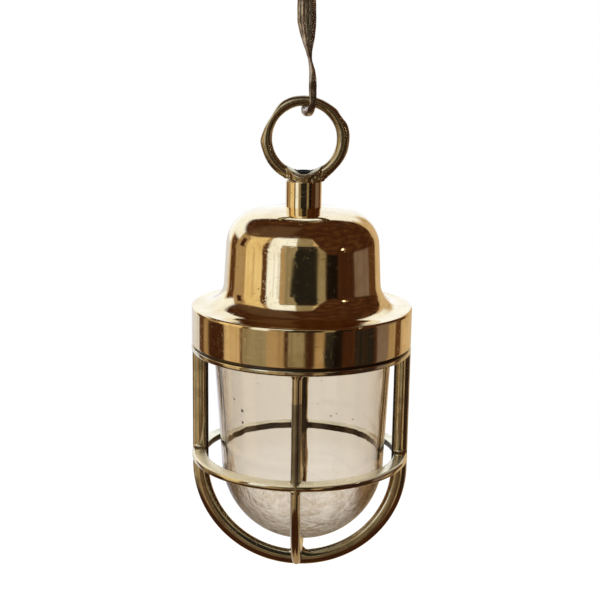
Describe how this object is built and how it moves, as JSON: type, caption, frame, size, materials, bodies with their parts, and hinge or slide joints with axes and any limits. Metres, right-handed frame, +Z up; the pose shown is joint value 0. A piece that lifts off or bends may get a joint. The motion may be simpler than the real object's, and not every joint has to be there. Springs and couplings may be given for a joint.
{
  "type": "caged pendant light",
  "caption": "Brass pendant light: domed cap on a ring and forged hook, thick glass jar inside a screwed-on barred guard, porcelain lampholder in the cap.",
  "frame": {"origin": "centre of the hook's eye, where the light hangs", "axes": "+Z up, +X to the right of the front view, the hanging ring lies in the XZ plane"},
  "size_m": [0.1504, 0.1504, 0.4146],
  "materials": {
    "dark_iron": "waxed, worn",
    "cap_brass": "polished, aged",
    "guard_brass": "cast, toned",
    "turned_brass": "turned",
    "zinc_steel": "zinc plated",
    "black_rubber": "matt",
    "cork": "cork and rubber sheet",
    "porcelain": "glazed porcelain",
    "clear_glass": "thick pressed glass"
  },
  "bodies": {
    "hook": {"suspension_hook": "dark_iron"},
    "lamp": {"hanging_ring": "cap_brass", "neck_stem": "cap_brass", "cable_grommet": "black_rubber", "dome_cap": "cap_brass", "neck_seal": "black_rubber", "neck_washer": "zinc_steel", "neck_locknut": "turned_brass", "upper_gasket": "black_rubber", "holder_bracket": "zinc_steel", "bracket_screws": "zinc_steel", "holder_screws": "zinc_steel", "holder_nuts": "zinc_steel", "holder_body": "porcelain", "screw_shell": "turned_brass", "centre_contact": "turned_brass", "contact_screws": "turned_brass", "live_terminal": "turned_brass", "neutral_terminal": "turned_brass", "terminal_screws": "zinc_steel", "earth_screw": "turned_brass", "earth_washer": "turned_brass"},
    "jar": {"lower_gasket": "cork", "glass_jar": "clear_glass"},
    "guard": {"guard_collar": "guard_brass", "guard_girdle": "guard_brass", "side_hoop": "guard_brass", "front_hoop": "guard_brass"}
  },
  "joints": [
    {"name": "lamp_swing", "type": "hinge", "parent": "hook", "child": "lamp", "pos_m": [0, 0, -0.076], "axis": [1, 0, 0], "range_deg": [-45, 45]},
    {"name": "guard_lower", "type": "slide", "parent": "lamp", "child": "jar", "axis": [0, 0, -1], "range_m": [0, 0.016]},
    {"name": "guard_turn", "type": "hinge", "parent": "jar", "child": "guard", "pos_m": [0, 0, -0.2389], "axis": [0, 0, -1], "range_deg": [0, 1440]}
  ],
  "couplings": [
    {"joint": "guard_lower", "follows": "guard_turn", "m_per_rad": 0.00063662}
  ]
}
